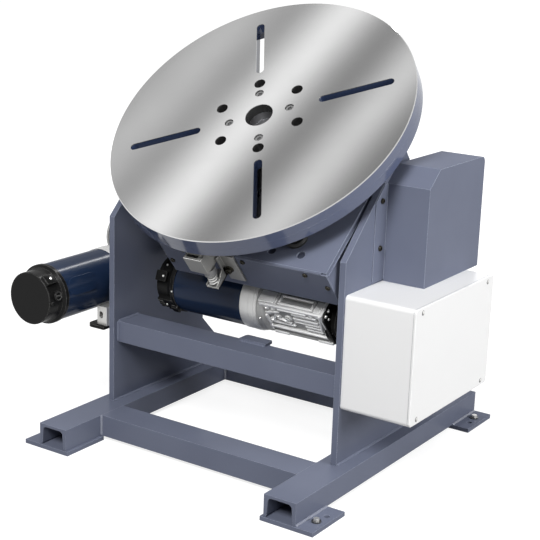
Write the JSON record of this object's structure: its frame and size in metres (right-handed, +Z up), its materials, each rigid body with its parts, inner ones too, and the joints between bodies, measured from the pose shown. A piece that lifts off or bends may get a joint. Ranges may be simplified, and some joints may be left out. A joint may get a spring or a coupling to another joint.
{
  "type": "welding positioner",
  "caption": "Tilting round welding table with radial clamping slots on a steel floor frame, turned and tilted by worm gear motors.",
  "frame": {"origin": "on the floor at the middle of the four anchor holes in the foot plates", "axes": "+Z up, +X towards the side with the electrical box, +Y towards the rear; the table's upper edge leans to the rear at rest, 40 degrees from level"},
  "size_m": [0.791, 0.69, 0.8303],
  "materials": {
    "frame_paint": "satin blue-grey enamel",
    "motor_paint": "satin navy enamel",
    "black_plastic": "matt moulded",
    "white_plastic": "smooth moulded",
    "cast_aluminium": "cast and turned",
    "table_steel": "face-turned",
    "gear_steel": "hobbed, oiled",
    "bearing_steel": "ground",
    "zinc_steel": "zinc plated",
    "dark_steel": "blackened",
    "rubber": "matt"
  },
  "bodies": {
    "frame": {"left_rail": "frame_paint", "right_rail": "frame_paint", "front_cross_member": "frame_paint", "rear_cross_member": "frame_paint", "foot_front_left": "frame_paint", "foot_front_right": "frame_paint", "foot_rear_left": "frame_paint", "foot_rear_right": "frame_paint", "jack_bolts": "zinc_steel", "jack_washers": "zinc_steel", "left_side_plate": "frame_paint", "right_side_plate": "frame_paint", "mid_beam": "frame_paint", "stop_tab": "frame_paint", "left_bearing_housing": "frame_paint", "right_bearing_housing": "frame_paint", "left_tilt_bearing": "bearing_steel", "right_tilt_bearing": "bearing_steel", "tilt_motor_cap": "black_plastic", "tilt_motor_tube": "motor_paint", "tilt_motor_flange": "cast_aluminium", "tilt_gearbox": "cast_aluminium", "tilt_end_cover": "black_plastic", "tilt_gearbox_seat": "frame_paint", "earth_terminal": "zinc_steel", "earth_plate": "black_plastic", "electrical_box": "white_plastic", "box_lid": "white_plastic", "bearing_cover": "frame_paint"},
    "tilt_body": {"left_trunnion": "gear_steel", "right_trunnion": "gear_steel", "tilt_gear": "gear_steel", "body_top_plate": "frame_paint", "body_left_wall": "frame_paint", "body_right_wall": "frame_paint", "body_rear_wall": "frame_paint", "front_cover": "frame_paint", "cable_grommet": "rubber", "spindle_housing": "frame_paint", "upper_spindle_bearing": "bearing_steel", "lower_spindle_bearing": "bearing_steel", "pinion_bearing": "bearing_steel", "rotation_motor_cap": "black_plastic", "rotation_motor_tube": "motor_paint", "rotation_motor_flange": "cast_aluminium", "rotation_gearbox": "cast_aluminium", "rotation_end_cover": "black_plastic", "gearbox_mount_plate": "frame_paint", "mount_pillars": "frame_paint", "brush_bracket": "zinc_steel", "brush_spring": "zinc_steel"},
    "table": {"table_plate": "table_steel", "table_skirt": "frame_paint", "table_screws": "dark_steel", "spindle": "gear_steel", "spindle_nut": "gear_steel", "ring_gear": "gear_steel"},
    "table_pinion": {"table_pinion": "gear_steel"},
    "tilt_pinion": {"tilt_pinion": "gear_steel"},
    "brush": {"brush_block": "zinc_steel"}
  },
  "joints": [
    {"name": "tilt", "type": "hinge", "parent": "frame", "child": "tilt_body", "pos_m": [-0.004, 0, 0.412], "axis": [1, 0, 0], "range_deg": [-40, 44]},
    {"name": "table_turn", "type": "hinge", "parent": "tilt_body", "child": "table", "pos_m": [-0.004, -0.05685, 0.63843], "axis": [0, -0.6428, 0.766], "continuous": true},
    {"name": "table_pinion_turn", "type": "hinge", "parent": "tilt_body", "child": "table_pinion", "pos_m": [0.08914, -0.13262, 0.47826], "axis": [0, -0.6428, 0.766], "continuous": true},
    {"name": "tilt_pinion_turn", "type": "hinge", "parent": "frame", "child": "tilt_pinion", "pos_m": [-0.24, -0.0082, 0.345], "axis": [1, 0, 0], "range_deg": [-73, 66.5]},
    {"name": "brush_slide", "type": "slide", "parent": "tilt_body", "child": "brush", "axis": [0, -0.6428, 0.766], "range_m": [-0.004, 0], "stiffness_N_per_m": 1500, "springref_m": 0.006}
  ],
  "couplings": [
    {"joint": "table_pinion_turn", "follows": "table_turn", "ratio": -3.4286},
    {"joint": "tilt_pinion_turn", "follows": "tilt", "ratio": -1.6471}
  ]
}
